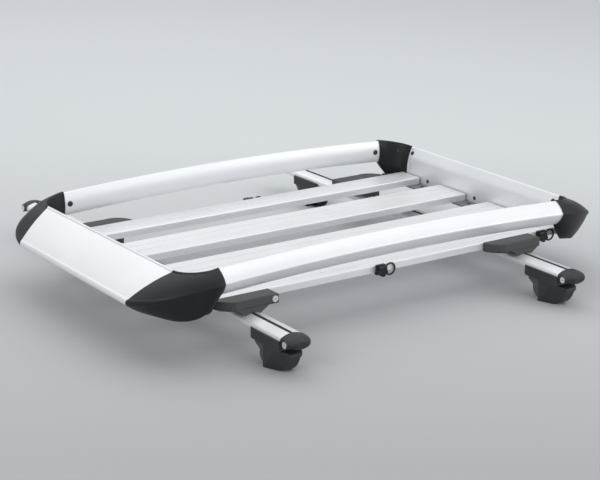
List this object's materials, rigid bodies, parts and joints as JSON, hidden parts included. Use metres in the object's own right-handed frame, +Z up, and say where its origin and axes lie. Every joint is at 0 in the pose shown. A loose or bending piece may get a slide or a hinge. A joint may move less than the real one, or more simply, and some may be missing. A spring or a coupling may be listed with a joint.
{
  "type": "roof basket",
  "caption": "Open aluminium roof basket with sloping end panels, arched side rails and flat slats, clamped on two oval crossbars with strap feet.",
  "frame": {"origin": "on the ground under the middle of the overall box: midway along the crossbars and midway between the two end panels' noses", "axes": "+X from the deflector end to the rear end, +Y to the vehicle's right-hand side along the crossbars, +Z up"},
  "size_m": [1.332, 1.306, 0.227],
  "materials": {
    "anodised_aluminium": "satin anodised",
    "black_plastic": "fine-grained matte moulding",
    "black_rubber": "matte",
    "black_wire": "black coated wire",
    "lock_steel": "satin nickel"
  },
  "bodies": {
    "root": {"cap_locks": "lock_steel", "clamp_locks": "lock_steel", "front_cross_rail": "anodised_aluminium", "front_crossbar": "anodised_aluminium", "front_left_clamp": "black_plastic", "front_left_corner": "black_plastic", "front_left_end_cap": "black_plastic", "front_left_foot_clamp": "black_plastic", "front_left_foot_cover": "black_plastic", "front_left_foot_strap": "black_rubber", "front_left_tie_ring": "black_wire", "front_panel": "anodised_aluminium", "front_right_clamp": "black_plastic", "front_right_corner": "black_plastic", "front_right_end_cap": "black_plastic", "front_right_foot_clamp": "black_plastic", "front_right_foot_cover": "black_plastic", "front_right_foot_strap": "black_rubber", "front_right_tie_ring": "black_wire", "inner_left_slat": "anodised_aluminium", "inner_right_slat": "anodised_aluminium", "left_rail": "anodised_aluminium", "left_tie_knobs": "black_plastic", "middle_left_tie_ring": "black_wire", "middle_right_tie_ring": "black_wire", "outer_left_slat": "anodised_aluminium", "outer_right_slat": "anodised_aluminium", "rear_cross_rail": "anodised_aluminium", "rear_crossbar": "anodised_aluminium", "rear_left_clamp": "black_plastic", "rear_left_corner": "black_plastic", "rear_left_end_cap": "black_plastic", "rear_left_foot_clamp": "black_plastic", "rear_left_foot_cover": "black_plastic", "rear_left_foot_strap": "black_rubber", "rear_left_tie_ring": "black_wire", "rear_panel": "anodised_aluminium", "rear_right_clamp": "black_plastic", "rear_right_corner": "black_plastic", "rear_right_end_cap": "black_plastic", "rear_right_foot_clamp": "black_plastic", "rear_right_foot_cover": "black_plastic", "rear_right_foot_strap": "black_rubber", "rear_right_tie_ring": "black_wire", "right_rail": "anodised_aluminium", "right_tie_knobs": "black_plastic", "slot_strips": "black_rubber"}
  },
  "joints": []
}
